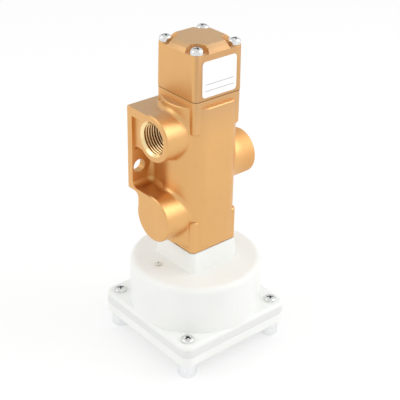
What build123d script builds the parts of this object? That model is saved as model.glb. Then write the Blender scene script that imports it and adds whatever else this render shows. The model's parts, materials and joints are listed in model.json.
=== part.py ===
from build123d import *
import math
import os

# Diaphragm-operated poppet valve that stands on four feet.
# The stem axis is Z and the feet rest on z = 0. The inlet looks along -Y, the outlet
# along +Y, the mounting plate along -X and the label along +X. Lengths are millimetres.

os.makedirs("parts", exist_ok=True)

# ---- base: feet, bottom cover and diaphragm housing ----
foot_diameter = 12.0
foot_height = 10.0
foot_socket_depth = 8.0
base_width = 85.5
base_corner_radius = 6.5
base_screw_edge = 7.85
cover_thickness = 6.4
cover_edge_radius = 1.4
diaphragm_rim_width = 2.5
joint_gap = 0.15
pilot_chamber_wall = 5.6
pilot_chamber_depth = 2.8
pilot_boss_radius = 13.0
pilot_boss_drop = 8.5
flange_thickness = 7.75
flange_edge_radius = 2.2
dome_edge_gap = 0.15
dome_draft = 0.6
dome_side_height = 32.0
dome_crown_rise = 1.6
dome_shoulder_radius = 4.2
dome_inner_shoulder_radius = 3.0
dome_wall = 3.8
dome_roof = 5.5
housing_height = 46.55
neck_overhang = 0.375
neck_corner_radius = 3.4
neck_draft_angle = 4.0
breather_radius = 1.6
breather_head_radius = 2.1
breather_bore_radius = 0.55
breather_rise = 0.35
breather_head_height = 0.75
breather_head_edge = 0.35
breather_x = -4.0
breather_y = -27.2

# ---- valve body ----
body_height = 100.2
body_width = 35.75
body_corner_radius = 3.3
column_bulge = 4.525
column_flat_bulge = 2.325
column_flat_blend = 8.0
ledge_radius = 0.9
top_plate_thickness = 3.9
bottom_plate_thickness = 3.2
top_post_length = 21.0
bottom_post_length = 21.2
post_end_radius = 1.4
boss_blend_radius = 3.2
boss_rim_radius = 1.2
boss_reach = 35.1
inlet_drop = 23.6
inlet_boss_radius = 14.5
outlet_height = 49.3
outlet_boss_radius = 14.5
blind_boss_height = 23.3
blind_boss_radius = 14.9

# ---- mounting plate beside the column ----
plate_stand_off = 1.8
plate_thickness = 5.0
plate_edge_radius = 1.0
top_web_thickness = 3.0
bottom_web_thickness = 2.5
web_top_drop = 0.9
web_bottom_rise = 0.3
web_blend_radius = 3.2
heel_reach = 14.3
heel_blend_radius = 3.2
gusset_end_inset = 0.8
gusset_lead = 1.5
pocket_wall_inset = 1.9
pocket_corner_radius = 4.0
pocket_above_hole = 14.9
slot_depth = 1.7
slot_top_drop = 5.5
mounting_hole_radius = 4.3
spot_face_radius = 7.5
mounting_hole_edge = 5.3
mounting_hole_split = 24.7

# ---- ports: 1/2 inch inlet and outlet, 1/8 inch pilot ----
port_minor_radius = 9.3
port_thread_depth = 1.05
port_pitch = 1.814
port_turns = 7
port_mouth_radius = 10.8
port_passage_radius = 8.4
pilot_minor_radius = 4.3
pilot_thread_depth = 0.5
pilot_pitch = 0.94
pilot_turns = 5
pilot_mouth_radius = 5.0
pilot_passage_radius = 1.5

# ---- flow chambers and seat, heights above the bottom of the body ----
chamber_step = 1.2
outlet_chamber_step = 1.8
outlet_chamber_drop = 9.8
seat_ledge_drop = 4.75
seat_height = 6.5
seat_bore_step = 4.0
seat_land_width = 1.2
seat_land_rise = 0.8

# ---- cap ----
cap_overhang = 0.125
cap_corner_radius = 3.2
cap_height = 27.2
cap_draft_angle = 0.8
crown_chamfer_height = 2.3
crown_chamfer_angle = 38.0
crown_top_height = 1.8
crown_top_angle = 52.0
crown_corner_radius = 1.2
crown_edge_radius = 0.3
notch_radius = 7.0
screw_pad_radius = 4.2
screw_pad_height = 0.6
spigot_wall = 3.675
spigot_length = 12.5
cap_bore_clearance = 5.9
label_margin = 5.2
label_height = 21.8
label_corner_radius = 2.2
label_thickness = 0.25
label_rise = 1.6

# ---- stem train ----
stem_radius = 5.0
stem_spigot_radius = 3.9
stem_end_above_nut = 1.5
stem_end_below_nut = 0.6
stem_end_chamfer = 0.5
lift = 5.0
poppet_edge_play = 0.8
poppet_thickness = 4.0
poppet_edge_chamfer = 1.0
poppet_hub_radius = 6.2
poppet_seal_margin = 0.6
poppet_seal_thickness = 2.2
poppet_washer_play = 1.4
poppet_washer_thickness = 1.6
piston_inset = 5.4
piston_height = 11.0
piston_gap_below = 5.0
liner_wall = 1.65
liner_end_gap = 4.0
piston_nut_margin = 2.3
nut_thickness = 3.6
diaphragm_thickness = 1.2
diaphragm_edge_play = 0.3
roll_inset = 11.1
roll_height = 3.6
upper_plate_margin = 7.5
upper_plate_thickness = 2.5
upper_plate_rim = 2.0
lower_plate_margin = 10.5
lower_plate_thickness = 2.0
lower_plate_edge_radius = 0.8

# ---- guide bush and stem seal ----
bush_radius = 9.5
bush_flange_radius = 11.8
bush_flange_thickness = 5.5
bush_height = 35.0
stem_seal_radius = 7.5
stem_seal_height = 4.0
seal_retainer_thickness = 1.0

# ---- return spring ----
spring_radius = 10.0
spring_wire_radius = 1.6
spring_turns = 6

# ---- screws ----
cap_screw_edge = 3.875
cap_screw_radius = 2.0
cap_screw_head_radius = 3.75
cap_screw_head_height = 3.5
cap_screw_bite = 14.0
cap_screw_turn = 12.0
base_screw_radius = 2.5
base_screw_head_radius = 4.1
base_screw_head_height = 2.2
base_screw_turn = 20.0
base_screw_end_gap = 1.0
housing_screw_edge = 5.075
housing_screw_radius = 2.5
housing_screw_head_radius = 4.2
housing_screw_head_height = 4.2
housing_screw_bite = 14.0
housing_screw_socket_radius = 2.0
housing_screw_socket_depth = 2.4
small_chamfer = 0.4
foot_chamfer = 0.6
pilot_boss_edge_radius = 1.0
recess_width = 1.0
recess_depth = 1.4

# ---- seals and clearances ----
housing_gasket_thickness = 0.4
cap_gasket_thickness = 0.5
gasket_edge_inset = 0.35
neck_gasket_inset = 0.65
seat_ring_section = 0.85
cap_ring_section = 1.2
piston_ring_section = 1.0
ring_groove_play = 0.12
running_fit = 0.05
press_fit_play = 0.02
screw_hole_play = 0.25
free_gap = 0.6
oversize = 2.0

# ---- widths and reaches that follow from the values above ----
base_screw_offset = base_width / 2 - base_screw_edge
dome_radius = base_width / 2 - dome_edge_gap
pilot_chamber_radius = dome_radius - pilot_chamber_wall
roll_radius = dome_radius - roll_inset
upper_plate_radius = roll_radius - upper_plate_margin
lower_plate_radius = roll_radius - lower_plate_margin
neck_width = body_width + 2 * neck_overhang
cap_width = body_width + 2 * cap_overhang
label_width = cap_width - 2 * label_margin
column_radius = body_width / 2 + column_bulge
column_flat_reach = body_width / 2 + column_flat_bulge
cap_screw_offset = body_width / 2 - cap_screw_edge
housing_screw_offset = body_width / 2 - housing_screw_edge
plate_outer_reach = column_radius + plate_stand_off
pocket_wall_reach = column_radius - pocket_wall_inset
mounting_hole_reach = boss_reach - mounting_hole_edge
spigot_radius = body_width / 2 - spigot_wall
chamber_radius = spigot_radius - chamber_step
outlet_chamber_radius = chamber_radius - outlet_chamber_step
seat_bore_radius = chamber_radius - seat_bore_step
poppet_radius = chamber_radius - poppet_edge_play
poppet_seal_radius = poppet_radius - poppet_seal_margin
poppet_washer_radius = seat_bore_radius - poppet_washer_play
piston_radius = spigot_radius - piston_inset
nut_across_flats = 2 * (piston_radius - piston_nut_margin)
nut_corner_radius = nut_across_flats / 2 / math.cos(math.radians(30))
cap_bore_depth = (piston_gap_below + piston_height + nut_thickness + stem_end_above_nut + lift
                  + cap_bore_clearance)

# ---- levels along the stem axis ----
z_cover_top = foot_height + cover_thickness
z_flange_bottom = z_cover_top + diaphragm_thickness
z_flange_top = z_flange_bottom + flange_thickness
z_neck_top = z_flange_top + housing_height
z_dome_edge = z_flange_top + dome_side_height
z_dome_crown = z_dome_edge + dome_crown_rise
z_cavity_top = z_dome_edge - dome_roof
z_body_bottom = z_neck_top + housing_gasket_thickness
z_body_top = z_body_bottom + body_height
z_inlet = z_body_top - inlet_drop
z_outlet = z_body_bottom + outlet_height
z_blind_boss = z_body_bottom + blind_boss_height
z_outlet_chamber = z_outlet - outlet_chamber_drop
z_seat_ledge = (z_inlet + z_outlet) / 2 - seat_ledge_drop
z_seat_top = z_seat_ledge + seat_height + seat_land_rise
z_cap_bottom = z_body_top + cap_gasket_thickness
z_cap_shoulder = z_cap_bottom + cap_height
z_cap_screw_seat = z_cap_shoulder + screw_pad_height
z_spigot_bottom = z_cap_bottom - spigot_length
z_plate_bottom = z_outlet - outlet_boss_radius + web_bottom_rise
z_plate_top = z_inlet + inlet_boss_radius - web_top_drop
z_front_hole = (z_plate_bottom + z_plate_top - mounting_hole_split) / 2
z_back_hole = (z_plate_bottom + z_plate_top + mounting_hole_split) / 2
z_pocket_floor = z_plate_bottom + bottom_web_thickness
z_pocket_roof = z_plate_top - top_web_thickness

z_poppet_bottom = z_seat_top + poppet_seal_thickness
z_stem_shoulder = z_seat_top - poppet_washer_thickness
z_piston_bottom = z_spigot_bottom + piston_gap_below
z_piston_top = z_piston_bottom + piston_height
z_stem_top = z_piston_top + nut_thickness + stem_end_above_nut
z_plate_stack_top = z_flange_bottom + upper_plate_thickness
z_lower_plate_bottom = z_cover_top - lower_plate_thickness
z_diaphragm_nut_bottom = z_lower_plate_bottom - nut_thickness
z_stem_bottom = z_diaphragm_nut_bottom - stem_end_below_nut
z_nut_pit = z_stem_bottom - free_gap

corners = [(1, 1), (-1, 1), (-1, -1), (1, -1)]


# ---- small shape helpers ----
def cylinder_z(radius, z_low, z_high, x=0.0, y=0.0):
    return Pos(x, y, (z_low + z_high) / 2) * Cylinder(radius, z_high - z_low)


def cylinder_y(radius, y_low, y_high, z):
    return Pos(0, (y_low + y_high) / 2, z) * Rot(90, 0, 0) * Cylinder(radius, y_high - y_low)


def cylinder_x(radius, x_low, x_high, y, z):
    return Pos((x_low + x_high) / 2, y, z) * Rot(0, 90, 0) * Cylinder(radius, x_high - x_low)


def block(x_low, x_high, y_low, y_high, z_low, z_high):
    centre = Pos((x_low + x_high) / 2, (y_low + y_high) / 2, (z_low + z_high) / 2)
    return centre * Box(x_high - x_low, y_high - y_low, z_high - z_low)


def square_prism(width, corner_radius, z_low, z_high):
    return Pos(0, 0, z_low) * extrude(RectangleRounded(width, width, corner_radius), z_high - z_low)


def turned(points):
    """A solid of revolution about Z from (radius, height) points."""
    return revolve(Plane.XZ * make_face(Polyline(*points, close=True)), Axis.Z)


def ring(inner_radius, outer_radius, z_low, z_high):
    return cylinder_z(outer_radius, z_low, z_high) - cylinder_z(inner_radius, z_low - 1, z_high + 1)


def o_ring(radius, section, z):
    return Pos(0, 0, z) * Torus(radius, section)


def ring_groove(outer_radius, ring_radius, section, z):
    """The ring-shaped space that a groove for an O-ring takes out of a round piece."""
    depth = section + ring_groove_play
    return ring(ring_radius - depth, outer_radius + oversize, z - depth, z + depth)


def four(shape, offset):
    return [Pos(x * offset, y * offset, 0) * shape for x, y in corners]


def threaded_port(minor_radius, thread_depth, pitch, turns, mouth_radius):
    """Cutter for a threaded port with its mouth at z = 0, going down: grooves with flat crests."""
    lead = mouth_radius - minor_radius
    crest = pitch * 0.2
    points = [(0, oversize), (mouth_radius, oversize), (mouth_radius, 0), (minor_radius, -lead)]
    for turn in range(turns):
        start = -lead - turn * pitch
        points.append((minor_radius, start - crest))
        points.append((minor_radius + thread_depth, start - (crest + pitch) / 2))
        points.append((minor_radius, start - pitch))
    points.append((minor_radius, -lead - turns * pitch - crest))
    points.append((0, -lead - turns * pitch - crest))
    return turned(points)


def cross_recess(length, z_top):
    slot = block(-length / 2, length / 2, -recess_width / 2, recess_width / 2,
                 z_top - recess_depth, z_top + oversize)
    return slot + Rot(0, 0, 90) * slot


def pan_screw(radius, head_radius, head_height, z_seat, z_end, turn):
    """Cross-recessed pan-head screw that hangs down from its seat."""
    head = cylinder_z(head_radius, z_seat, z_seat + head_height)
    head = fillet(head.edges().sort_by(Axis.Z)[-1], head_height * 0.42)
    head -= Rot(0, 0, turn) * cross_recess(head_radius * 1.3, z_seat + head_height)
    return head + cylinder_z(radius, z_end, z_seat)


def hex_nut(hole_radius, z_low):
    nut = Pos(0, 0, z_low) * extrude(RegularPolygon(nut_across_flats / 2, 6, major_radius=False),
                                     nut_thickness)
    return nut - cylinder_z(hole_radius, z_low - 1, z_low + nut_thickness + 1)


# ---- base pieces ----
def foot_nuts():
    foot = cylinder_z(foot_diameter / 2, 0, foot_height)
    foot = chamfer(foot.edges().sort_by(Axis.Z)[0], foot_chamfer)
    foot -= cylinder_z(base_screw_radius + press_fit_play, foot_height - foot_socket_depth,
                       foot_height + oversize)
    return four(foot, base_screw_offset)


def base_screws():
    z_end = foot_height - foot_socket_depth + base_screw_end_gap
    screw = pan_screw(base_screw_radius, base_screw_head_radius, base_screw_head_height,
                      z_flange_top, z_end, base_screw_turn)
    return four(screw, base_screw_offset)


def bottom_cover():
    """Cover with a rim round the diaphragm's edge and a boss for the pilot port."""
    cover = square_prism(base_width, base_corner_radius, foot_height, z_flange_bottom - joint_gap)
    cover = fillet(cover.edges().group_by(Axis.Z)[0], cover_edge_radius)
    cover -= square_prism(base_width - 2 * diaphragm_rim_width,
                          base_corner_radius - diaphragm_rim_width, z_cover_top, z_flange_top)
    boss_bottom = foot_height - pilot_boss_drop
    boss = cylinder_z(pilot_boss_radius, boss_bottom, foot_height + 1)
    boss = fillet(boss.edges().sort_by(Axis.Z)[0], pilot_boss_edge_radius)
    cover += boss
    cover -= cylinder_z(pilot_chamber_radius, z_cover_top - pilot_chamber_depth, z_cover_top + oversize)
    cover -= cylinder_z(nut_corner_radius + free_gap, z_nut_pit, z_cover_top)
    for hole in four(cylinder_z(base_screw_radius + screw_hole_play, foot_height - 1,
                                z_cover_top + 1), base_screw_offset):
        cover -= hole
    port = threaded_port(pilot_minor_radius, pilot_thread_depth, pilot_pitch, pilot_turns,
                         pilot_mouth_radius)
    cover -= Pos(0, 0, boss_bottom) * Rot(180, 0, 0) * port
    return cover - cylinder_z(pilot_passage_radius, boss_bottom, z_cover_top)


def diaphragm():
    """Reinforced rubber sheet, clamped at its edge, with one rolled convolution."""
    inset = diaphragm_rim_width + diaphragm_edge_play
    sheet = square_prism(base_width - 2 * inset, base_corner_radius - inset, z_cover_top,
                         z_flange_bottom)
    half = diaphragm_thickness / 2
    sheet -= ring(roll_radius - roll_height + half, roll_radius + roll_height - half,
                  z_cover_top - 1, z_flange_bottom + 1)
    section = Circle(roll_height + half) - Circle(roll_height - half)
    section &= Pos(0, roll_height) * Rectangle(4 * roll_height, 2 * roll_height)
    roll = revolve(Plane.XZ * Pos(roll_radius, z_cover_top) * section, Axis.Z)
    sheet += roll
    sheet -= cylinder_z(stem_spigot_radius + running_fit, z_cover_top - 1, z_flange_bottom + 1)
    for hole in four(cylinder_z(base_screw_radius + screw_hole_play, z_cover_top - 1,
                                z_flange_bottom + 1), base_screw_offset):
        sheet -= hole
    return sheet


def dome(edge_radius, z_low, z_edge, rise, draft, shoulder_radius):
    """Round casing with drafted sides, a rounded shoulder and a low cone for a roof."""
    points = [(0, z_low), (edge_radius, z_low), (edge_radius - draft, z_edge), (0, z_edge + rise)]
    profile = make_face(Polyline(*points, close=True))
    shoulder = profile.vertices().sort_by(Axis.X)[-2:].sort_by(Axis.Y)[-1]
    profile = fillet(shoulder, shoulder_radius)
    return revolve(Plane.XZ * profile, Axis.Z)


def diaphragm_housing():
    flange = square_prism(base_width, base_corner_radius, z_flange_bottom, z_flange_top)
    flange = fillet(flange.edges().group_by(Axis.Z)[-1], flange_edge_radius)
    outer = dome(dome_radius, z_flange_bottom + 1, z_dome_edge, dome_crown_rise, dome_draft,
                 dome_shoulder_radius)
    neck = Pos(0, 0, z_neck_top) * Rot(180, 0, 0) * extrude(
        RectangleRounded(neck_width, neck_width, neck_corner_radius), z_neck_top - z_dome_edge + 2,
        taper=-neck_draft_angle)
    housing = flange + outer + neck
    cavity = dome(dome_radius - dome_wall, z_flange_bottom - 1, z_cavity_top, 0.0,
                  dome_draft, dome_inner_shoulder_radius)
    housing -= cavity
    housing -= cylinder_z(stem_radius + free_gap, z_cavity_top - 1, z_neck_top + 1)
    for hole in four(cylinder_z(base_screw_radius + screw_hole_play, z_flange_bottom - 1,
                                z_flange_top + 1), base_screw_offset):
        housing -= hole
    for hole in four(cylinder_z(housing_screw_radius + screw_hole_play, z_cavity_top - 1,
                                z_neck_top + 1), housing_screw_offset):
        housing -= hole
    return housing - cylinder_z(breather_radius + press_fit_play, z_cavity_top - 1,
                                z_dome_crown + 1, breather_x, breather_y)


def breather():
    """Small plug with a cross bore that lets the spring chamber breathe."""
    reach = math.hypot(breather_x, breather_y)
    z_roof = z_dome_crown - dome_crown_rise * reach / (dome_radius - dome_draft)
    z_head = z_roof + breather_rise
    plug = cylinder_z(breather_radius, z_cavity_top, z_head + breather_head_height / 2)
    head = cylinder_z(breather_head_radius, z_head, z_head + breather_head_height)
    plug += fillet(head.edges().sort_by(Axis.Z)[-1], breather_head_edge)
    plug -= cylinder_z(breather_bore_radius, z_cavity_top - 1, z_roof + oversize)
    return Pos(breather_x, breather_y, 0) * plug


def housing_gasket():
    width = neck_width - 2 * neck_gasket_inset
    sheet = square_prism(width, neck_corner_radius, z_neck_top, z_body_bottom)
    sheet -= cylinder_z(bush_flange_radius + running_fit, z_neck_top - 1, z_body_bottom + 1)
    for hole in four(cylinder_z(housing_screw_radius + screw_hole_play, z_neck_top - 1,
                                z_body_bottom + 1), housing_screw_offset):
        sheet -= hole
    return sheet


def housing_screws():
    """Socket-head screws that go up from the spring chamber into the corner posts."""
    head = cylinder_z(housing_screw_head_radius, z_cavity_top - housing_screw_head_height,
                      z_cavity_top)
    head = chamfer(head.edges().sort_by(Axis.Z)[0], small_chamfer)
    socket = extrude(RegularPolygon(housing_screw_socket_radius, 6, major_radius=False),
                     housing_screw_socket_depth)
    head -= Pos(0, 0, z_cavity_top - housing_screw_head_height) * socket
    shank = cylinder_z(housing_screw_radius, z_cavity_top, z_body_bottom + housing_screw_bite)
    return four(head + shank, housing_screw_offset)


# ---- valve body ----
def boss(radius, direction, z):
    """Round boss that reaches from the stem axis to one port face, with a rounded rim."""
    tip = direction * boss_reach
    shape = cylinder_y(radius, min(0, tip), max(0, tip), z)
    rim = shape.edges().sort_by(Axis.Y)[-1 if direction > 0 else 0]
    return fillet(rim, boss_rim_radius)


def column_section():
    """Round section with one flat, whose two long edges are blended."""
    reach = column_flat_reach + column_radius
    section = Circle(column_radius) - Pos(reach, 0) * Rectangle(2 * column_radius, 2 * column_radius)
    return fillet(section.vertices(), column_flat_blend)


def column_with_bosses():
    z_low = z_body_bottom + bottom_plate_thickness
    z_high = z_body_top - top_plate_thickness
    shape = Pos(0, 0, z_low) * extrude(column_section(), z_high - z_low)
    ends = shape.edges().group_by(Axis.Z)
    shape = fillet(ends[0] + ends[-1], ledge_radius)
    for radius, direction, z in [(inlet_boss_radius, -1, z_inlet),
                                 (outlet_boss_radius, 1, z_outlet),
                                 (blind_boss_radius, -1, z_blind_boss)]:
        before = shape.edges()
        shape += boss(radius, direction, z)
        joint = [e for e in shape.edges() - before if abs(e.center().Y) < column_radius]
        shape = fillet(joint, boss_blend_radius)
    return shape


def square_end(z_low, z_high, free_end):
    """Square end of the body; only its corners stand out of the column, as four posts."""
    shape = square_prism(body_width, body_corner_radius, z_low, z_high)
    return fillet(shape.edges().group_by(Axis.Z)[free_end], post_end_radius)


def rounded_block(x_low, x_high, y_low, y_high, z_low, z_high):
    shape = block(x_low, x_high, y_low, y_high, z_low, z_high)
    return fillet(shape.edges(), plate_edge_radius)


def front_arm(x_start):
    """Plate root, webs and heel on the inlet side, drawn as seen from the inlet."""
    points = [(x_start, z_plate_top), (0, z_plate_top), (0, z_blind_boss), (-heel_reach, z_blind_boss),
              (-heel_reach, z_plate_bottom), (x_start, z_plate_bottom)]
    outline = make_face(Polyline(*points, close=True))
    hollow = outline.vertices().sort_by_distance(Vertex(-heel_reach, z_plate_bottom, 0))[0]
    outline = fillet(hollow, heel_blend_radius)
    arm = extrude(Plane.XZ * outline, boss_reach)
    face = arm.edges().group_by(Axis.Y)[0]
    rim = [edge for edge in face if edge.center().X < x_start / 2 and edge.center().Z > z_blind_boss]
    return fillet(rim, plate_edge_radius)


def mounting_arm():
    """Upright plate and the two webs that tie it to the bosses, before the column is added."""
    x_out = -plate_outer_reach
    x_in = x_out + plate_thickness
    x_start = x_out + plate_thickness / 2
    plate = rounded_block(x_out, x_in, -boss_reach, boss_reach, z_plate_bottom, z_plate_top)
    arm = front_arm(x_start) + block(x_start, 0, 0, pocket_wall_reach, z_plate_bottom, z_plate_top)
    arm += block(x_start, 0, 0, boss_reach - plate_edge_radius, z_plate_bottom, z_pocket_floor)
    y_end = boss_reach - gusset_end_inset
    gusset = [(x_in - 1, 0), (x_in - 1, y_end), (x_in + gusset_lead, y_end), (0, column_radius), (0, 0)]
    gusset = extrude(make_face(Polyline(*gusset, close=True)), top_web_thickness)
    arm += Pos(0, 0, z_pocket_roof) * gusset
    return arm + plate - front_pocket(x_in) - back_pocket(x_in)


def pocket(x_in, y_inner, y_open, z_high, z_hole):
    """Rounded space for the head of a mounting screw, with a round seat on the plate."""
    middle = (y_inner + y_open) / 2
    side = math.copysign(1, y_open)
    space = block(x_in, inlet_boss_radius, min(y_inner, y_open), max(y_inner, y_open),
                  z_pocket_floor, z_high)
    closed = [edge for edge in space.edges()
              if edge.center().X < inlet_boss_radius and side * (edge.center().Y - middle) <= 0.01]
    space = fillet(closed, pocket_corner_radius)
    return space + cylinder_x(spot_face_radius, x_in, x_in + spot_face_radius,
                              side * mounting_hole_reach, z_hole)


def front_pocket(x_in):
    """Pocket round the front hole, and the shallow recess above it beside the inlet boss."""
    y_open = -boss_reach - oversize
    space = pocket(x_in, -pocket_wall_reach, y_open, z_front_hole + pocket_above_hole, z_front_hole)
    return space + block(x_in, 0, y_open, -boss_reach + slot_depth, z_front_hole,
                         z_plate_top - slot_top_drop)


def back_pocket(x_in):
    return pocket(x_in, pocket_wall_reach, boss_reach + oversize, z_pocket_roof, z_back_hole)


def web_blend():
    """Concave blend where the flat top of the upper web meets the column."""
    radius = web_blend_radius
    level = z_plate_top + radius / 2
    profile = Pos(column_radius, level) * Rectangle(2 * radius, radius)
    profile -= Pos(column_radius + radius, z_plate_top + radius) * Circle(radius)
    blend = revolve(Plane.XZ * profile, Axis.Z)
    return blend & block(-plate_outer_reach + plate_edge_radius, 0, -boss_reach, boss_reach,
                         z_plate_top - radius, z_plate_top + 2 * radius)


def valve_body():
    body = column_with_bosses()
    body += mounting_arm()
    body += web_blend()
    body += square_end(z_body_bottom, z_body_bottom + bottom_post_length, -1)
    body += square_end(z_body_top - top_post_length, z_body_top, 0)
    body -= flow_passages()
    body -= cylinder_z(bush_radius + press_fit_play, z_body_bottom - 1, z_seat_ledge)
    body -= cylinder_z(bush_flange_radius + press_fit_play, z_body_bottom - 1,
                       z_neck_top + bush_flange_thickness)
    for hole in four(cylinder_z(housing_screw_radius + press_fit_play, z_body_bottom - 1,
                                z_body_bottom + housing_screw_bite + 1), housing_screw_offset):
        body -= hole
    for hole in four(cylinder_z(cap_screw_radius + press_fit_play, z_body_top - cap_screw_bite - 1,
                                z_body_top + 1), cap_screw_offset):
        body -= hole
    for side, z_hole in [(-1, z_front_hole), (1, z_back_hole)]:
        body -= cylinder_x(mounting_hole_radius, -plate_outer_reach - 1,
                           -plate_outer_reach + plate_thickness + 1, side * mounting_hole_reach, z_hole)
    return body


def flow_passages():
    """Stepped bore for the seat and the cap, with a threaded port into each chamber."""
    bore = cylinder_z(chamber_radius, z_seat_ledge, z_body_top)
    bore += cylinder_z(spigot_radius + press_fit_play, z_spigot_bottom, z_body_top + 1)
    bore += cylinder_z(outlet_chamber_radius, z_outlet_chamber, z_seat_ledge + 1)
    port = threaded_port(port_minor_radius, port_thread_depth, port_pitch, port_turns,
                         port_mouth_radius)
    bore += Pos(0, -boss_reach, z_inlet) * Rot(90, 0, 0) * port
    bore += Pos(0, boss_reach, z_outlet) * Rot(-90, 0, 0) * port
    bore += cylinder_y(port_passage_radius, -boss_reach + 1, 0, z_inlet)
    bore += cylinder_y(port_passage_radius, 0, boss_reach - 1, z_outlet)
    return bore


def seat_insert():
    z_shoulder = z_seat_ledge + seat_height
    outer = chamber_radius - press_fit_play
    seat = ring(seat_bore_radius, outer, z_seat_ledge, z_shoulder)
    seat += ring(seat_bore_radius, seat_bore_radius + seat_land_width, z_seat_ledge, z_seat_top)
    return seat - ring_groove(outer, seat_ring_radius(), seat_ring_section, seat_ring_level())


def seat_ring_radius():
    return chamber_radius - press_fit_play - seat_ring_section


def seat_ring_level():
    return z_seat_ledge + seat_height / 2


# ---- cap ----
def cap_block(side_growth, top_growth=0.0):
    """Drafted block of the cap, grown on its sides and at its top by the given amounts."""
    width = cap_width + 2 * side_growth
    outline = RectangleRounded(width, width, cap_corner_radius + side_growth)
    return Pos(0, 0, z_cap_bottom) * extrude(outline, cap_height + top_growth, taper=cap_draft_angle)


def crown():
    """Chamfered plateau on the cap, cut back round each screw head."""
    shrink = 2 * cap_height * math.tan(math.radians(cap_draft_angle))
    width = cap_width - shrink
    lower = extrude(RectangleRounded(width, width, cap_corner_radius), crown_chamfer_height,
                    taper=crown_chamfer_angle)
    width -= 2 * crown_chamfer_height * math.tan(math.radians(crown_chamfer_angle))
    upper = extrude(RectangleRounded(width, width, crown_corner_radius), crown_top_height,
                    taper=crown_top_angle)
    shape = Pos(0, 0, z_cap_shoulder) * lower
    shape += Pos(0, 0, z_cap_shoulder + crown_chamfer_height) * upper
    top = z_cap_shoulder + crown_chamfer_height + crown_top_height
    for notch in four(cylinder_z(notch_radius, z_cap_shoulder, top + 1), cap_screw_offset):
        shape -= notch
    return fillet(shape.edges().group_by(Axis.Z)[-1], crown_edge_radius)


def cap():
    shape = cap_block(0) + crown()
    shape += cylinder_z(spigot_radius, z_spigot_bottom, z_cap_bottom + 1)
    shape -= ring_groove(spigot_radius, cap_ring_radius(), cap_ring_section, cap_ring_level()) \
        & cylinder_z(spigot_radius + 1, z_spigot_bottom, z_cap_bottom)
    shape -= cylinder_z(liner_radius() + press_fit_play, z_spigot_bottom - 1,
                        z_spigot_bottom + cap_bore_depth)
    for pad in four(cylinder_z(screw_pad_radius, z_cap_shoulder - 1, z_cap_screw_seat), cap_screw_offset):
        shape += pad & cap_block(0, screw_pad_height)
    for hole in four(cylinder_z(cap_screw_radius + screw_hole_play, z_cap_bottom - 1,
                                z_cap_screw_seat + 1), cap_screw_offset):
        shape -= hole
    return shape


def liner_radius():
    return piston_radius + running_fit + liner_wall


def cap_ring_radius():
    return spigot_radius - cap_ring_section + press_fit_play / 2


def cap_ring_level():
    return z_spigot_bottom + spigot_length / 2


def piston_liner():
    return ring(piston_radius + running_fit, liner_radius(), z_spigot_bottom,
                z_spigot_bottom + cap_bore_depth - liner_end_gap)


def cap_gasket():
    width = body_width - 2 * gasket_edge_inset
    sheet = square_prism(width, body_corner_radius, z_body_top, z_cap_bottom)
    sheet -= cylinder_z(spigot_radius + press_fit_play, z_body_top - 1, z_cap_bottom + 1)
    for hole in four(cylinder_z(cap_screw_radius + screw_hole_play, z_body_top - 1,
                                z_cap_bottom + 1), cap_screw_offset):
        sheet -= hole
    return sheet


def cap_screws():
    screw = pan_screw(cap_screw_radius, cap_screw_head_radius, cap_screw_head_height,
                      z_cap_screw_seat, z_body_top - cap_screw_bite, cap_screw_turn)
    return four(screw, cap_screw_offset)


def label_plate():
    """Thin plate that follows the drafted +X face of the cap."""
    z_low = z_cap_bottom + label_rise
    outline = RectangleRounded(label_width, label_height, label_corner_radius)
    window = Plane(origin=(0, 0, z_low + label_height / 2), x_dir=(0, 1, 0), z_dir=(1, 0, 0))
    window = extrude(window * outline, cap_width)
    return (cap_block(label_thickness) - cap_block(0)) & window


# ---- stem train ----
def stem():
    """Turned stem: a thick middle between two spigots that carry the stacked pieces."""
    spigot = stem_spigot_radius
    shape = cylinder_z(stem_radius, z_plate_stack_top, z_stem_shoulder)
    lower = cylinder_z(spigot, z_stem_bottom, z_plate_stack_top + 1)
    upper = cylinder_z(spigot, z_stem_shoulder - 1, z_stem_top)
    lower = chamfer(lower.edges().sort_by(Axis.Z)[0], stem_end_chamfer)
    upper = chamfer(upper.edges().sort_by(Axis.Z)[-1], stem_end_chamfer)
    return lower + shape + upper


def spigot_hole(shape, z_low, z_high):
    return shape - cylinder_z(stem_spigot_radius + press_fit_play, z_low - 1, z_high + 1)


def poppet_washer():
    return spigot_hole(cylinder_z(poppet_washer_radius, z_stem_shoulder, z_seat_top),
                       z_stem_shoulder, z_seat_top)


def poppet_seal():
    return spigot_hole(cylinder_z(poppet_seal_radius, z_seat_top, z_poppet_bottom),
                       z_seat_top, z_poppet_bottom)


def poppet():
    disc = cylinder_z(poppet_radius, z_poppet_bottom, z_poppet_bottom + poppet_thickness)
    disc = chamfer(disc.edges().sort_by(Axis.Z)[-1], poppet_edge_chamfer)
    hub = cylinder_z(poppet_hub_radius, z_poppet_bottom, z_piston_bottom)
    return spigot_hole(disc + hub, z_poppet_bottom, z_piston_bottom)


def balance_piston():
    piston = cylinder_z(piston_radius, z_piston_bottom, z_piston_top)
    piston -= ring_groove(piston_radius, piston_ring_radius(), piston_ring_section,
                          piston_ring_level())
    return spigot_hole(piston, z_piston_bottom, z_piston_top)


def piston_ring_radius():
    return piston_radius - piston_ring_section + running_fit / 2


def piston_ring_level():
    return (z_piston_bottom + z_piston_top) / 2


def upper_diaphragm_plate():
    """Pressed cup under the spring, with its rim turned up."""
    z_high = z_flange_bottom + upper_plate_thickness
    plate = cylinder_z(upper_plate_radius, z_flange_bottom, z_high + upper_plate_rim)
    plate -= cylinder_z(upper_plate_radius - upper_plate_thickness, z_high, z_high + upper_plate_rim + 1)
    return spigot_hole(plate, z_flange_bottom, z_high)


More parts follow.
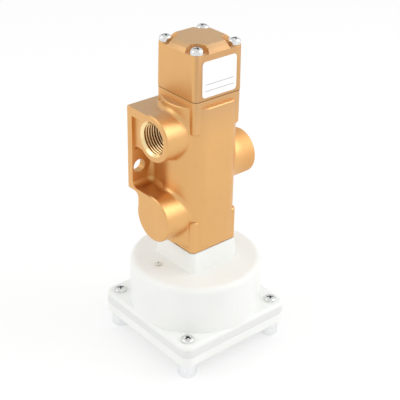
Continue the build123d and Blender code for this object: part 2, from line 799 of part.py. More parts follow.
def lower_diaphragm_plate():
    plate = cylinder_z(lower_plate_radius, z_lower_plate_bottom, z_cover_top)
    plate = fillet(plate.edges().sort_by(Axis.Z)[0], lower_plate_edge_radius)
    return spigot_hole(plate, z_lower_plate_bottom, z_cover_top)


def return_spring():
    """Round-wire compression spring between the upper plate and the roof of the chamber."""
    z_low = z_plate_stack_top + spring_wire_radius + press_fit_play
    z_high = z_cavity_top - spring_wire_radius - press_fit_play
    path = Helix((z_high - z_low) / spring_turns, z_high - z_low, spring_radius)
    section = Plane(origin=path @ 0, z_dir=path % 0) * Circle(spring_wire_radius)
    return Pos(0, 0, z_low) * sweep(section, path, is_frenet=True)


# ---- guide bush ----
def guide_bush():
    z_top = z_neck_top + bush_height
    z_seal = z_top - seal_retainer_thickness - stem_seal_height
    bush = cylinder_z(bush_radius, z_neck_top, z_top)
    bush += cylinder_z(bush_flange_radius, z_neck_top, z_neck_top + bush_flange_thickness)
    bush -= cylinder_z(stem_radius + running_fit, z_neck_top - 1, z_top + 1)
    return bush - cylinder_z(stem_seal_radius + press_fit_play, z_seal, z_top + 1)


def stem_seal():
    z_high = z_neck_top + bush_height - seal_retainer_thickness
    return ring(stem_radius + running_fit, stem_seal_radius, z_high - stem_seal_height, z_high)


def seal_retainer():
    z_high = z_neck_top + bush_height
    return ring(stem_radius + 2 * running_fit, stem_seal_radius, z_high - seal_retainer_thickness,
                z_high)


nodes = {
    "foot_nuts": foot_nuts(),
    "base_screws": base_screws(),
    "bottom_cover": bottom_cover(),
    "diaphragm": diaphragm(),
    "diaphragm_housing": diaphragm_housing(),
    "breather": breather(),
    "housing_screws": housing_screws(),
    "housing_gasket": housing_gasket(),
    "valve_body": valve_body(),
    "guide_bush": guide_bush(),
    "stem_seal": stem_seal(),
    "seal_retainer": seal_retainer(),
    "seat_insert": seat_insert(),
    "seat_o_ring": o_ring(seat_ring_radius(), seat_ring_section, seat_ring_level()),
    "cap": cap(),
    "cap_gasket": cap_gasket(),
    "cap_o_ring": o_ring(cap_ring_radius(), cap_ring_section, cap_ring_level()),
    "cap_screws": cap_screws(),
    "label_plate": label_plate(),
    "piston_liner": piston_liner(),
    "stem": stem(),
    "poppet_washer": poppet_washer(),
    "poppet_seal": poppet_seal(),
    "poppet": poppet(),
    "balance_piston": balance_piston(),
    "piston_o_ring": o_ring(piston_ring_radius(), piston_ring_section, piston_ring_level()),
    "piston_nut": hex_nut(stem_spigot_radius + press_fit_play, z_piston_top),
    "upper_diaphragm_plate": upper_diaphragm_plate(),
    "lower_diaphragm_plate": lower_diaphragm_plate(),
    "diaphragm_nut": hex_nut(stem_spigot_radius + press_fit_play, z_diaphragm_nut_bottom),
    "return_spring": return_spring(),
}

for name, shape in nodes.items():
    solids = shape if isinstance(shape, list) else [shape]
    whole = Compound(children=solids) if len(solids) > 1 else solids[0]
    export_step(whole, f"parts/{name}.step")
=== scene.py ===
import json
import math

import bmesh
import bpy
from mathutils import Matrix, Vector


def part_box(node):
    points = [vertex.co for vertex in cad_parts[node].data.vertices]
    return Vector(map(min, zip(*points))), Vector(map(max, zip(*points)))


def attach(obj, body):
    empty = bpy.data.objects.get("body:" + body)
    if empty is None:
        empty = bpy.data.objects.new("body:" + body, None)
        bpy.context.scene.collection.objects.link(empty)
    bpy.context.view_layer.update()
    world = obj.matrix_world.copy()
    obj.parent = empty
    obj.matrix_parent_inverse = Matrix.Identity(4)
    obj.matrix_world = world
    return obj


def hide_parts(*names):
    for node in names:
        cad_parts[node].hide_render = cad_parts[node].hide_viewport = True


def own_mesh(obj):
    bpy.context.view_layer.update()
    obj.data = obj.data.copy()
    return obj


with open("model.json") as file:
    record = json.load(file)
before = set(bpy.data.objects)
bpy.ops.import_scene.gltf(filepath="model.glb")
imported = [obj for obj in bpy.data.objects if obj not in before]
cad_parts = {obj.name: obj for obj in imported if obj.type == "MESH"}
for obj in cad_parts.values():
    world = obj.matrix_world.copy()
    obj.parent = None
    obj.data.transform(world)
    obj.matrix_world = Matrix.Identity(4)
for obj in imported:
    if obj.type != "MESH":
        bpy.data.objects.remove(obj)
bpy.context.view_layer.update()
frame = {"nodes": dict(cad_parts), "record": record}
nodes = frame["nodes"]
MM = 0.001

# ---- feet ----
# Four round nuts that the valve stands on, turned from free-cutting steel and zinc plated.
# They are screwed onto the ends of the base screws under the bottom cover.


class Value:
    """A number on its way through a shader, so that sums are written as Python writes them."""

    def __init__(self, tree, socket):
        self.tree = tree
        self.socket = socket

    def maths(self, operation, *others, clamp=False):
        node = self.tree.node("ShaderNodeMath", {"operation": operation, "use_clamp": clamp},
                              {number: value for number, value in enumerate((self, *others))})
        return Value(self.tree, node.outputs[0])

    def __add__(self, other):
        return self.maths("ADD", other)

    __radd__ = __add__

    def __mul__(self, other):
        return self.maths("MULTIPLY", other)

    __rmul__ = __mul__

    def __sub__(self, other):
        return self.maths("SUBTRACT", other)

    def __rsub__(self, other):
        return (self * -1.0) + other

    def __truediv__(self, other):
        return self.maths("DIVIDE", other)

    def __gt__(self, other):
        return self.maths("GREATER_THAN", other)

    def __lt__(self, other):
        return self.maths("LESS_THAN", other)

    def size(self):
        return self.maths("ABSOLUTE")

    def root(self):
        return self.maths("SQRT")

    def kept(self):
        """The value held between 0 and 1."""
        return self.maths("ADD", 0.0, clamp=True)

    def step(self, low, high):
        """0 below low, 1 above high, and a straight ramp between them."""
        return ((self - low) / (high - low)).kept()


class Tree:
    """A node tree with one way of making and joining its nodes."""

    def __init__(self, tree):
        self.tree = tree

    def node(self, kind, settings=None, inputs=None):
        """A node with its settings made first and then its sockets filled."""
        node = self.tree.nodes.new(kind)
        for name, value in (settings or {}).items():
            setattr(node, name, value)
        for name, value in (inputs or {}).items():
            if isinstance(value, Value):
                value = value.socket
            if isinstance(value, bpy.types.NodeSocket):
                self.tree.links.new(value, node.inputs[name])
            else:
                node.inputs[name].default_value = value
        return node


class Finish(Tree):
    """One finish of this valve: a Principled surface and the nodes that feed it."""

    def __init__(self, name, colour, rough, metal=0.0, **others):
        self.material = bpy.data.materials.new(name)
        self.material.use_nodes = True
        super().__init__(self.material.node_tree)
        self.surface = self.tree.nodes["Principled BSDF"]
        self.surface.inputs["Base Color"].default_value = (*colour, 1.0)
        self.surface.inputs["Roughness"].default_value = rough
        self.surface.inputs["Metallic"].default_value = metal
        for socket, value in others.items():
            self.surface.inputs[socket.replace("_", " ")].default_value = value
        self.coordinates = self.node("ShaderNodeTexCoord")
        self.place = self.coordinates.outputs["Object"]

    def parts_of(self, socket):
        """The three numbers that a vector socket carries."""
        split = self.node("ShaderNodeSeparateXYZ", None, {0: socket})
        return [Value(self, part) for part in split.outputs]

    def axes(self):
        """The three coordinates of a point of the piece, in metres."""
        return self.parts_of(self.place)

    def stretched(self, scale):
        """The piece's coordinates, drawn out along the axes with a low scale."""
        mapping = self.node("ShaderNodeMapping", None, {"Vector": self.place, "Scale": scale})
        return mapping.outputs[0]

    def noise(self, scale, detail=3.0, place=None):
        node = self.node("ShaderNodeTexNoise", None,
                         {"Vector": place or self.place, "Scale": scale, "Detail": detail})
        return Value(self, node.outputs[0])

    def mix(self, amount, first, second):
        """A colour between two others, each of them three numbers or a socket."""
        first, second = [(*c, 1.0) if isinstance(c, tuple) else c for c in (first, second)]
        node = self.node("ShaderNodeMix", {"data_type": "RGBA"}, {0: amount, 6: first, 7: second})
        return node.outputs[2]

    def feed(self, name, value):
        self.tree.links.new(value.socket if isinstance(value, Value) else value,
                            self.surface.inputs[name])

    def relief(self, height, depth):
        """Raises the surface by a height from 0 to 1 that is worth the given depth in metres."""
        bump = self.node("ShaderNodeBump", None, {"Height": height, "Distance": depth})
        self.tree.links.new(bump.outputs[0], self.surface.inputs["Normal"])

    def on(self, *names):
        """Puts the finish on CAD nodes."""
        for name in names:
            mesh = nodes[name].data
            mesh.materials.clear()
            mesh.materials.append(self.material)
        return self


def tool_marks(finish, pitch, depth):
    """Fine tool marks round the Z axis, and the faint cloud of handled metal."""
    height = finish.axes()[2] * (math.tau / pitch)
    marks = height.maths("SINE") * 0.5 + 0.5
    finish.relief(marks * (0.5 + finish.noise(200.0)), depth)
    return finish


def zinc_finish(name, rough, tone=0.9):
    """Zinc plate with a faint cloud in its colour and in its shine."""
    grey = (tone * 0.9, tone * 0.912, tone * 0.92)
    bright = (tone * 0.975, tone * 0.985, tone * 0.99)
    finish = Finish(name, (tone, tone, tone), rough, 1.0)
    cloud = finish.noise(420.0, 4.0)
    finish.feed("Base Color", finish.mix(cloud.step(0.35, 0.7), grey, bright))
    finish.feed("Roughness", cloud * 0.16 + (rough - 0.08))
    return finish


def revolved(name, outline, steps=48):
    """A mesh turned about Z from (radius, height) points in metres."""
    form = bmesh.new()
    points = [form.verts.new((radius, 0.0, height)) for radius, height in outline]
    lines = [form.edges.new(pair) for pair in zip(points, points[1:])]
    bmesh.ops.spin(form, geom=points + lines, cent=(0, 0, 0), axis=(0, 0, 1), angle=math.tau,
                   steps=steps)
    bmesh.ops.remove_doubles(form, verts=form.verts, dist=1e-6)
    bmesh.ops.recalc_face_normals(form, faces=form.faces)
    mesh = bpy.data.meshes.new(name)
    form.to_mesh(mesh)
    return mesh


def cross_cutter(name, top, bottom, z_top, z_bottom):
    """A tapered cross, from its (arm reach, half width) at the top and at the bottom."""
    form = bmesh.new()
    rings = []
    for (reach, half), height in ((top, z_top), (bottom, z_bottom)):
        corner = [(half, half), (reach, half), (reach, -half)]
        outline = []
        for turn in range(4):
            across, along = math.cos(-turn * math.pi / 2), math.sin(-turn * math.pi / 2)
            outline += [(x * across - y * along, x * along + y * across, height)
                        for x, y in corner]
        rings.append([form.verts.new(point) for point in outline])
    form.faces.new(rings[0])
    form.faces.new(rings[1])
    for place in range(12):
        after = (place + 1) % 12
        form.faces.new((rings[0][place], rings[0][after], rings[1][after], rings[1][place]))
    bmesh.ops.recalc_face_normals(form, faces=form.faces)
    mesh = bpy.data.meshes.new(name)
    form.to_mesh(mesh)
    return mesh


def at_corners(name, node, finish, reach, shape, cutter=None, turn=0.0, seed=0):
    """Four copies of a shape, for a CAD node, at the corners of a square.

    reach is half of the square's side. The cutter is taken out of the shape, and each copy is
    turned about its own axis by chance, by up to turn either way.
    """
    tree = bpy.data.node_groups.new(name + "_layout", "GeometryNodeTree")
    given = {}
    for label, kind in (("Shape", "NodeSocketObject"), ("Cutter", "NodeSocketObject"),
                        ("Reach", "NodeSocketFloat"), ("Turn", "NodeSocketFloat"),
                        ("Seed", "NodeSocketInt"), ("Finish", "NodeSocketMaterial")):
        socket = tree.interface.new_socket(label, in_out="INPUT", socket_type=kind)
        given[label] = socket.identifier
    tree.interface.new_socket("Geometry", in_out="OUTPUT", socket_type="NodeSocketGeometry")
    layout = Tree(tree)
    inputs = layout.node("NodeGroupInput").outputs
    side = Value(layout, inputs["Reach"]) * 2.0
    corners = layout.node("GeometryNodeMeshGrid", None,
                          {"Size X": side, "Size Y": side, "Vertices X": 2, "Vertices Y": 2})
    source = layout.node("GeometryNodeObjectInfo", None, {"Object": inputs["Shape"]})
    piece = source.outputs["Geometry"]
    if cutter:
        tool = layout.node("GeometryNodeObjectInfo", None, {"Object": inputs["Cutter"]})
        cut = layout.node("GeometryNodeMeshBoolean", {"operation": "DIFFERENCE", "solver": "EXACT"},
                          {"Mesh 1": piece, "Mesh 2": tool.outputs["Geometry"]})
        piece = cut.outputs["Mesh"]
    spread = Value(layout, inputs["Turn"])
    low = layout.node("ShaderNodeCombineXYZ", None, {2: spread * -1.0})
    high = layout.node("ShaderNodeCombineXYZ", None, {2: spread})
    chance = layout.node("FunctionNodeRandomValue", {"data_type": "FLOAT_VECTOR"},
                         {"Min": low.outputs[0], "Max": high.outputs[0], "Seed": inputs["Seed"]})
    copies = layout.node("GeometryNodeInstanceOnPoints", None,
                         {"Points": corners.outputs["Mesh"], "Instance": piece,
                          "Rotation": chance.outputs[0]})
    real = layout.node("GeometryNodeRealizeInstances", None, {"Geometry": copies.outputs[0]})
    painted = layout.node("GeometryNodeSetMaterial", None,
                          {"Geometry": real.outputs[0], "Material": inputs["Finish"]})
    layout.node("NodeGroupOutput", None, {"Geometry": painted.outputs[0]})

    sources = [bpy.data.objects.new(mesh.name, mesh) for mesh in (shape, cutter) if mesh]
    carrier = bpy.data.objects.new(name, bpy.data.meshes.new(name))
    for thing in (*sources, carrier):
        bpy.context.scene.collection.objects.link(thing)
    grown = carrier.modifiers.new(name, "NODES")
    grown.node_group = tree
    values = {"Shape": sources[0], "Cutter": sources[-1], "Reach": reach, "Turn": turn,
              "Seed": seed, "Finish": finish.material}
    for label, value in values.items():
        grown[given[label]] = value
    view = bpy.context.evaluated_depsgraph_get()
    mesh = bpy.data.meshes.new_from_object(carrier.evaluated_get(view))
    carrier.modifiers.clear()
    carrier.data = mesh
    mesh.shade_smooth()
    mesh.set_sharp_from_angle(angle=math.radians(38.0))
    for thing in sources:
        bpy.data.objects.remove(thing)
    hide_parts(node)
    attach(carrier, "valve")


foot_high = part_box("foot_nuts")[1]
foot_radius = 6.0 * MM
foot_edge = 0.6 * MM
foot_edge_middle = 0.3 * foot_edge
foot_top_edge = 0.25 * MM
foot_bore = 2.52 * MM
foot_bore_floor = 2.0 * MM
foot_outline = [
    (0.0, foot_bore_floor), (foot_bore, foot_bore_floor), (foot_bore, foot_high.z),
    (foot_radius - foot_top_edge, foot_high.z), (foot_radius, foot_high.z - foot_top_edge),
    (foot_radius, foot_edge), (foot_radius - foot_edge_middle, foot_edge_middle),
    (foot_radius - foot_edge, 0.0), (0.0, 0.0)]
foot_zinc = zinc_finish("zinc_on_turned_feet", rough=0.3, tone=0.96)
tool_marks(foot_zinc, pitch=0.35 * MM, depth=0.003 * MM)
at_corners("foot_nut_set", "foot_nuts", foot_zinc, foot_high.x - foot_radius,
           revolved("foot_nut", foot_outline, 64))

# ---- base screws ----
# Four cross-recessed pan-head screws that clamp flange, diaphragm and cover together.
# Cold-headed steel with bright zinc plate.


def zinc_with_recess_shade(name, reach, recess_reach, top):
    """Bright zinc with shade painted dark inside the cross recess of each screw, where it also
    shines less.
    """
    grey, bright, painted_recess_shade = (0.70, 0.71, 0.70), (0.87, 0.88, 0.87), (0.20, 0.20, 0.21)
    finish = Finish(name, (0.76, 0.78, 0.80), 0.22, 1.0)
    x, y, z = finish.axes()
    cloud = finish.noise(420.0, 4.0)
    plate = finish.mix(cloud.step(0.35, 0.7), grey, bright)
    across, along = x.size() - reach, y.size() - reach
    near = (across * across + along * along).root() < recess_reach
    # Mask of the cross recess, where shade is painted and the zinc is rougher.
    sunk_and_shaded = near * (top - z).step(0.25 * MM, 0.8 * MM)
    finish.feed("Base Color", finish.mix(sunk_and_shaded, plate, painted_recess_shade))
    finish.feed("Roughness", cloud * 0.14 + 0.14 + sunk_and_shaded * 0.3)
    finish.relief(finish.noise(900.0, 4.0), 0.02 * MM)
    return finish


def pan_screw_set(name, node, head_radius, head_height, shank_radius, recess_depth, seed):
    """Pan-head screws for a CAD node: a flat-sided head, a low dome and a cross recess."""
    low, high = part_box(node)
    seat = high.z - head_height
    brow = seat + 0.36 * head_height
    edge = 0.12 * MM
    point_edge = 0.3 * shank_radius
    roundness = 0.78
    dome_steps = 12
    outline = [(0.0, low.z), (shank_radius - point_edge, low.z),
               (shank_radius, low.z + point_edge), (shank_radius, seat),
               (head_radius - edge, seat), (head_radius, seat + edge)]
    for step in range(dome_steps):
        angle = step / dome_steps * math.pi / 2
        outline.append((head_radius * math.cos(angle) ** roundness,
                        brow + (high.z - brow) * math.sin(angle) ** roundness))
    outline.append((0.0, high.z))
    arms_top = (head_radius * 0.62, 0.62 * MM)
    arms_bottom = (head_radius * 0.28, 0.40 * MM)
    cutter = cross_cutter(name + "_recess", arms_top, arms_bottom, high.z + 0.4 * MM,
                          high.z - recess_depth)
    reach = high.x - head_radius
    finish = zinc_with_recess_shade(name + "_zinc", reach, head_radius * 0.66, high.z)
    at_corners(name, node, finish, reach, revolved(name + "_blank", outline, 56),
               cutter, turn=0.8, seed=seed)


pan_screw_set("base_screw_set", "base_screws", head_radius=4.1 * MM, head_height=2.2 * MM,
              shank_radius=2.5 * MM, recess_depth=1.5 * MM, seed=4)

# ---- bottom cover and diaphragm housing ----
# Two light-alloy castings, bead blasted and lacquered near-white. The cover closes the
# pilot chamber and the housing holds the return spring; its neck carries the valve body.


def cast_white(name, tone, flange_top=0.0):
    """White lacquer on a cast skin, with grey shade painted on the sides of a flange."""
    light = (tone * 0.988, tone, tone * 0.968)
    dark = (tone * 0.93, tone * 0.94, tone * 0.905)
    finish = Finish(name, light, 0.40)
    broad = finish.noise(38.0, 2.0)
    grain = finish.noise(1500.0, 3.0)
    pits = finish.noise(420.0, 2.0)
    colour = finish.mix(broad.step(0.4, 0.8) * 0.6, light, dark)
    if flange_top:
        # Shade is painted in grey on the flange's sides, below its top.
        grey = tone * 0.90
        flange_side_shade = (flange_top - finish.axes()[2]).step(0.0, 0.5 * MM)
        colour = finish.mix(flange_side_shade, colour, (grey * 0.99, grey, grey * 0.98))
    finish.feed("Base Color", colour)
    finish.feed("Roughness", broad * 0.2 + 0.30)
    finish.relief(grain * 0.6 + pits * 0.4, 0.04 * MM)
    return finish


housing_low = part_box("diaphragm_housing")[0]
flange_side = 5.5 * MM
housing_white = cast_white("lacquered_housing_casting", 0.92, housing_low.z + flange_side)
housing_white.on("diaphragm_housing")
cast_white("lacquered_cover_casting", 0.95).on("bottom_cover")

# ---- diaphragm ----
# Fabric-reinforced nitrile sheet clamped between the housing and the cover, inside the
# cover's rim. The seals of the valve are of the same black nitrile.

rubber = Finish("black_nitrile", (0.016, 0.016, 0.017), 0.62, 0.0, Specular_IOR_Level=0.35)
bloom = rubber.noise(260.0, 4.0).step(0.45, 0.8) * 0.5
rubber.feed("Base Color", rubber.mix(bloom, (0.014, 0.014, 0.015), (0.06, 0.058, 0.055)))
rubber.relief(rubber.noise(1400.0), 0.03 * MM)
rubber.on("diaphragm", "stem_seal", "seat_o_ring", "cap_o_ring", "piston_o_ring", "poppet_seal")

# ---- breather ----
# Small nickel-plated brass plug pressed into the dome. Its bore lets the spring chamber
# breathe.

plug = Finish("nickel_plated_plug", (0.80, 0.77, 0.70), 0.3, 1.0)
plug.feed("Roughness", plug.noise(500.0) * 0.2 + 0.22)
plug.on("breather")

# ---- housing screws and gasket ----
# Socket-head screws go up from the spring chamber into the corner posts of the body.
# A thin compressed-fibre sheet seals the neck of the housing against the body.

zinc_screw = zinc_finish("bright_zinc_screw", 0.22)
zinc_screw.relief(zinc_screw.noise(900.0, 4.0), 0.02 * MM)
zinc_screw.on("housing_screws")
fibre = Finish("brown_fibre_sheet", (0.17, 0.10, 0.055), 0.78)
weave = fibre.noise(700.0, 4.0, fibre.stretched((1.0, 6.0, 1.0)))
fibre_dark, fibre_light = (0.12, 0.07, 0.038), (0.22, 0.14, 0.078)
fibre.feed("Base Color", fibre.mix(weave.step(0.35, 0.7), fibre_dark, fibre_light))
fibre.relief(weave, 0.04 * MM)
fibre.on("housing_gasket", "cap_gasket")

# ---- valve body ----
# Bronze sand casting with two threaded ports, a blind boss and a side plate with two
# mounting holes. It is shot blasted, and the ports and the bore are machined bright.

bronze_rough = 0.38
bronze_relief = 0.035 * MM
shaded_bronze = (0.60, 0.37, 0.195)
column_reach = 19.5 * MM


def cast_bronze(name, shade_and_dull_from, side_shade_and_dull=0.0, unshaded_below=0.0):
    """A blasted cast skin: the finish, its colour, its grain and how dull it is.

    Where the skin looks up by more than the given threshold it is dull and shade is painted
    over its colour; where it looks along +X, shade is painted and it is dull by the given side
    share. Below the given height, tops that stand out past the column get neither.
    """
    light, dark, stain = (0.82, 0.48, 0.195), (0.765, 0.44, 0.178), (0.62, 0.37, 0.16)
    # The grey-brown colour is a painted shade laid on the faces that look up.
    painted_top_shade, painted_top_shade_share = (0.60, 0.435, 0.275), 0.8
    finish = Finish(name, (0.78, 0.45, 0.18), 0.42, 1.0)
    broad = finish.noise(26.0, 2.0)
    cloud = finish.noise(240.0, 4.0)
    grain = finish.noise(2400.0, 2.0)
    cast = finish.mix(broad.step(0.3, 0.75), light, dark)
    cast = finish.mix(cloud.step(0.5, 0.85) * 0.15, cast, stain)
    right, _, up = finish.parts_of(finish.coordinates.outputs["Normal"])
    # Mask of the upward faces where shade is painted and the skin is dull.
    painted_shade_and_dull = up.step(shade_and_dull_from, 0.97)
    if unshaded_below:
        _, along, height = finish.axes()
        painted_shade_and_dull = painted_shade_and_dull * (1.0 - (height < unshaded_below) * (along.size() > column_reach))
    # Shade is painted on the faces that look along +X.
    side = right.step(0.45, 0.75) * side_shade_and_dull
    cast = finish.mix(side, cast, shaded_bronze)
    cast = finish.mix(painted_shade_and_dull * painted_top_shade_share, cast, painted_top_shade)
    return finish, cast, grain * 0.8 + cloud * 0.2, (painted_shade_and_dull + side).kept()


mounts = {mount["name"]: mount for mount in frame["record"]["mounts"]}
body_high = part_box("valve_body")[1]
# Shade is painted on the body's upward faces, except low tops past the column.
body_bronze, cast_colour, cast_grain, painted_shade_and_dull = cast_bronze(
    "shot_blasted_bronze_body", shade_and_dull_from=0.85, unshaded_below=155.0 * MM)
x, y, z = body_bronze.axes()
port_crest = 9.3 * MM
port_mouth = 10.9 * MM
port_start = 16.0 * MM
mouth_depth = 1.6 * MM
machined = 0.0
groove = 0.0
for port, side in (("inlet_port", -1.0), ("outlet_port", 1.0)):
    rise = z - mounts[port]["pos_m"][2]
    radius = (x * x + rise * rise).root()
    outward = y * side
    bore = (radius < port_mouth) * (outward > port_start)
    # How far a point lies down in the thread, where shade is painted.
    sunk_and_shaded = (radius - port_crest).step(0.1 * MM, 0.7 * MM)
    machined = bore + machined
    groove = bore * (outward < body_high.y - mouth_depth) * sunk_and_shaded + groove
machined = machined.kept()
groove = groove.kept()

# Shade is painted in dark brown deep in the two screw pockets beside the column, towards the plate.
right = body_bronze.parts_of(body_bronze.coordinates.outputs["Normal"])[0]
painted_pocket_shade, pocket_shade_share = (0.46, 0.215, 0.065), 0.47
pocket_floor = 20.3 * MM
pocket_half_height = 26.5 * MM
near_plate = (x * -1.0).step(9.0 * MM, 18.0 * MM)
sunk_in = (body_high.y - y.size()).step(0.3 * MM, 9.0 * MM) * (y.size() > pocket_floor)
between_ends = (z - mounts["mounting_face"]["pos_m"][2]).size() < pocket_half_height
pocket_shade = near_plate * sunk_in * between_ends * (right > -0.5)
cast_colour = body_bronze.mix(pocket_shade * pocket_shade_share, cast_colour, painted_pocket_shade)

# Shade is painted on the +X face, growing towards the cap.
shade_start = 24.0 * MM
shade_length = 20.0 * MM
near_cap = (z - body_high.z + shade_start).step(0.0, shade_length)
shade = right.step(0.45, 0.75) * near_cap * 0.55
cast_colour = body_bronze.mix(shade, cast_colour, shaded_bronze)

# The ports are bright where the tool cut, and shade is painted in brown in the grooves of the
# thread.
cut_bronze, painted_groove_shade = (1.0, 0.78, 0.42), (0.60, 0.21, 0.02)
cut_colour = body_bronze.mix(groove * 0.9, cut_bronze, painted_groove_shade)
cutter_pitch = 0.4 * MM
ridges = (y * (math.tau / cutter_pitch)).maths("SINE") * 0.5 + 0.5
outlet_skin = y.step(20.0 * MM, 27.0 * MM)
body_bronze.feed("Base Color", body_bronze.mix(machined, cast_colour, cut_colour))
body_bronze.feed("Metallic", 1.0 - groove * 0.35)
body_bronze.feed("Roughness", bronze_rough + body_bronze.noise(60.0) * 0.08 + painted_shade_and_dull * 0.15
                 + outlet_skin * 0.2 - machined * 0.16)
body_bronze.relief(cast_grain * (1.0 - machined) + ridges * machined * 0.2, bronze_relief)


def round_bore(form, level, y_low, y_high, widest):
    """Splits the edges of a bore along Y and moves the new points out onto its cones."""
    radius_of = form.verts.layers.float.new("bore_radius")
    in_bore = set()
    for vert in form.verts:
        vert[radius_of] = math.hypot(vert.co.x, vert.co.z - level)
        if y_low < vert.co.y < y_high and vert[radius_of] < widest:
            in_bore.add(vert)
    lines = [edge for edge in form.edges if in_bore.issuperset(edge.verts)]
    before = set(form.verts)
    bmesh.ops.subdivide_edges(form, edges=lines, cuts=2, use_grid_fill=True)
    for vert in form.verts:
        if vert not in before:
            across, rise = vert.co.x, vert.co.z - level
            growth = vert[radius_of] / math.hypot(across, rise)
            vert.co.x, vert.co.z = across * growth, level + rise * growth
    form.verts.layers.float.remove(radius_of)


def smooth_copy(name, node, finish, edge=0.0, bores=()):
    """A CAD piece with its points merged and shaded smooth.

    edge breaks its sharp edges by that much, and bores are its round holes along Y.
    """
    mesh = nodes[node].data.copy()
    mesh.name = name
    form = bmesh.new()
    form.from_mesh(mesh)
    bmesh.ops.remove_doubles(form, verts=form.verts, dist=1e-6)
    for bore in bores:
        round_bore(form, *bore)
    form.to_mesh(mesh)
    piece = bpy.data.objects.new(name, mesh)
    bpy.context.scene.collection.objects.link(piece)
    if "custom_normal" in mesh.attributes:
        mesh.attributes.remove(mesh.attributes["custom_normal"])
    if edge:
        breaker = piece.modifiers.new("broken_edges", "BEVEL")
        breaker.width = edge
        breaker.segments = 2
        breaker.limit_method = "ANGLE"
        breaker.angle_limit = math.radians(40.0)
        view = bpy.context.evaluated_depsgraph_get()
        mesh = bpy.data.meshes.new_from_object(piece.evaluated_get(view))
        piece.modifiers.clear()
        piece.data = mesh
    mesh.shade_smooth()
    mesh.set_sharp_from_angle(angle=math.radians(36.0))
    mesh.materials.clear()
    mesh.materials.append(finish.material)
    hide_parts(node)
    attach(piece, "valve")
    return piece


inlet_level = mounts["inlet_port"]["pos_m"][2]
outlet_level = mounts["outlet_port"]["pos_m"][2]
smooth_copy("valve_body_casting", "valve_body", body_bronze,
            bores=((inlet_level, -body_high.y - MM, -port_start, port_mouth),
                   (outlet_level, port_start, body_high.y + MM, port_mouth)))

# ---- guide bush, stem seal and retainer ----
# A turned brass bush pressed into the foot of the body guides the stem; a lip seal sits
# in its upper end under a thin stainless washer.


def brass_finish(name):
    """Machined brass with a faint cloud in its colour and in its shine."""
    dark, light = (0.70, 0.46, 0.17), (0.88, 0.64, 0.29)
    finish = Finish(name, (0.80, 0.56, 0.22), 0.28, 1.0)
    cloud = finish.noise(300.0, 3.0)
    finish.feed("Base Color", finish.mix(cloud.step(0.3, 0.75), dark, light))
    finish.feed("Roughness", cloud * 0.18 + 0.2)
    return finish


tool_marks(brass_finish("turned_brass_bush"), 0.4 * MM, 0.01 * MM).on("guide_bush", "piston_liner")
stainless = Finish("turned_stainless", (0.56, 0.55, 0.53), 0.24, 1.0)
cloud = stainless.noise(350.0, 3.0).step(0.3, 0.7)
stainless.feed("Base Color", stainless.mix(cloud, (0.50, 0.49, 0.47), (0.63, 0.62, 0.60)))
tool_marks(stainless, 0.3 * MM, 0.008 * MM)
stainless.on("seal_retainer", "seat_insert", "stem", "poppet_washer")

# ---- poppet, piston and plates on the stem ----
# The stem carries, from the top, the balance piston, the poppet with its seal, and the
# two pressed plates that hold the diaphragm, each stack locked by a hexagon nut.

tool_marks(brass_finish("turned_brass_poppet"), 0.5 * MM, 0.01 * MM).on("poppet", "balance_piston")
zinc_screw.on("piston_nut", "diaphragm_nut")
pressed = zinc_finish("zinc_on_pressed_plate", 0.32)
pressed.relief(pressed.noise(500.0), 0.03 * MM)
pressed.on("upper_diaphragm_plate", "lower_diaphragm_plate")

# ---- return spring ----
# Cold-drawn spring wire, phosphate grey, wound as one round-wire compression spring. Its
# upper end stays under the housing's neck, and the plates push its lower end up.

wire = Finish("phosphated_spring_wire", (0.16, 0.16, 0.17), 0.42, 0.8)
scale = wire.noise(500.0).step(0.35, 0.7)
wire.feed("Base Color", wire.mix(scale, (0.11, 0.11, 0.12), (0.24, 0.24, 0.25)))
wire.relief(wire.noise(1200.0), 0.02 * MM)
coil = smooth_copy("return_spring_coil", "return_spring", wire)
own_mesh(coil)

# ---- cap ----
# Bronze casting with drafted sides and a chamfered plateau that is cut back round the
# four screw heads. Its spigot goes down into the body and holds the piston's liner.

# Shade is painted on the cap's upward faces, chamfers included, and on its +X side.
cap_bronze, cast_colour, cast_grain, painted_shade_and_dull = cast_bronze(
    "shot_blasted_bronze_cap", shade_and_dull_from=0.45, side_shade_and_dull=0.6)
cap_bronze.feed("Base Color", cast_colour)
cap_bronze.feed("Roughness", bronze_rough + cap_bronze.noise(60.0) * 0.08 + painted_shade_and_dull * 0.22)
cap_bronze.relief(cast_grain, bronze_relief)
smooth_copy("cap_casting", "cap", cap_bronze, edge=0.25 * MM)

# ---- cap screws ----
# Four M4 pan-head screws with bright zinc plate, driven down through the cap's corners.

pan_screw_set("cap_screw_set", "cap_screws", head_radius=3.75 * MM, head_height=3.5 * MM,
              shank_radius=2.0 * MM, recess_depth=2.0 * MM, seed=9)

# ---- label ----
# White film with rounded corners on the +X face of the cap, bare but for two thin rules.

white, ink = (0.95, 0.95, 0.95), (0.26, 0.26, 0.27)
film = Finish("white_label_film", white, 0.35, 0.0, Specular_IOR_Level=0.4)
_, y, z = film.axes()
label_low, label_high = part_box("label_plate")
label_tall = label_high.z - label_low.z
label_wide = label_high.y - label_low.y
rule_half_height = 0.14 * MM
rule_half_length = 0.42 * label_wide
rules = 0.0
for share in (0.18, 0.36):
    level = label_low.z + share * label_tall
    rules = ((z - level).size() < rule_half_height) * (y.size() < rule_half_length) + rules
film.feed("Base Color", film.mix(rules.kept(), white, ink))
film.on("label_plate")

# ---- studio ----
# A plain white floor that keeps the valve's soft shadow, and a white surround. A soft light
# stands behind on the right, with a wider one that shows only in reflections. Another soft
# light stands in front on the left, and a weak fill on the right.


def seen_rays(tree, *kinds):
    """1 for the rays of the given kinds, such as those that come from the camera."""
    path = tree.node("ShaderNodeLightPath")
    rays = 0.0
    for kind in kinds:
        rays = Value(tree, path.outputs[f"Is {kind} Ray"]) + rays
    return rays.kept()


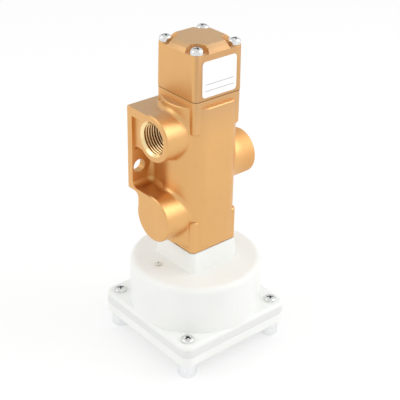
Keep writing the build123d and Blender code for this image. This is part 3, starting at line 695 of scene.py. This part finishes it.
reach = 6.0
floor_mesh = bpy.data.meshes.new("studio_floor")
floor_corners = [(-reach, -reach, 0), (reach, -reach, 0), (reach, reach, 0), (-reach, reach, 0)]
floor_mesh.from_pydata(floor_corners, [], [(0, 1, 2, 3)])
floor = bpy.data.objects.new("studio_floor", floor_mesh)
bpy.context.scene.collection.objects.link(floor)
floor_paint = Finish("white_floor", (0.90, 0.90, 0.90), 0.9)
glow = floor_paint.node("ShaderNodeEmission", None, {"Color": (1, 1, 1, 1), "Strength": 1.08})
glow_share = seen_rays(floor_paint, "Camera", "Glossy", "Transmission") * 0.55
blend = floor_paint.node("ShaderNodeMixShader", None,
                         {0: glow_share, 1: floor_paint.surface.outputs[0], 2: glow.outputs[0]})
output = floor_paint.tree.nodes["Material Output"]
floor_paint.tree.links.new(blend.outputs[0], output.inputs[0])
floor_mesh.materials.append(floor_paint.material)

world = bpy.data.worlds.new("white_surround")
bpy.context.scene.world = world
world.use_nodes = True
surround = Tree(world.node_tree)
surround_light = 0.85
level = seen_rays(surround, "Camera", "Transmission") * (1.0 - surround_light) + surround_light
backdrop = world.node_tree.nodes["Background"]
world.node_tree.links.new(level.socket, backdrop.inputs["Strength"])
backdrop.inputs["Color"].default_value = (1, 1, 1, 1)

middle = Vector((0.0, 0.0, 0.11))
back_right = (0.54, 0.59, 0.59)
for name, direction, distance, size, power in (
        ("back_softbox", back_right, 0.9, 0.6, 2.1),
        ("back_sheen", back_right, 0.8, 0.9, 1.4),
        ("front_softbox", (-0.45, -0.75, 0.55), 1.1, 0.7, 2.0),
        ("right_fill", (0.95, -0.25, 0.25), 1.2, 0.8, 0.4)):
    lamp = bpy.data.lights.new(name, "AREA")
    lamp.shape = "SQUARE"
    lamp.size = size
    lamp.energy = power
    softbox = bpy.data.objects.new(name, lamp)
    bpy.context.scene.collection.objects.link(softbox)
    softbox.visible_diffuse = name != "back_sheen"
    way = Vector(direction).normalized()
    softbox.location = middle + way * distance
    softbox.rotation_euler = way.to_track_quat("Z", "Y").to_euler()

# ---- camera ----
# A long lens looks down on the valve from the inlet and label sides.

camera = bpy.data.objects.new("camera", bpy.data.cameras.new("camera"))
bpy.context.scene.collection.objects.link(camera)
camera.data.lens = 90.394
camera.data.sensor_width = 36.0
camera.data.clip_start = 0.01
camera.data.clip_end = 50.0
camera.location = (0.41450, -0.35444, 0.40402)
aim = Vector((0.00133, 0.00156, 0.09664))
roll = math.radians(1.2054)
camera.rotation_euler = (camera.location - aim).to_track_quat("Z", "Y").to_euler()
camera.rotation_euler.rotate_axis("Z", roll)
bpy.context.scene.camera = camera
bpy.context.scene.view_settings.view_transform = "Standard"
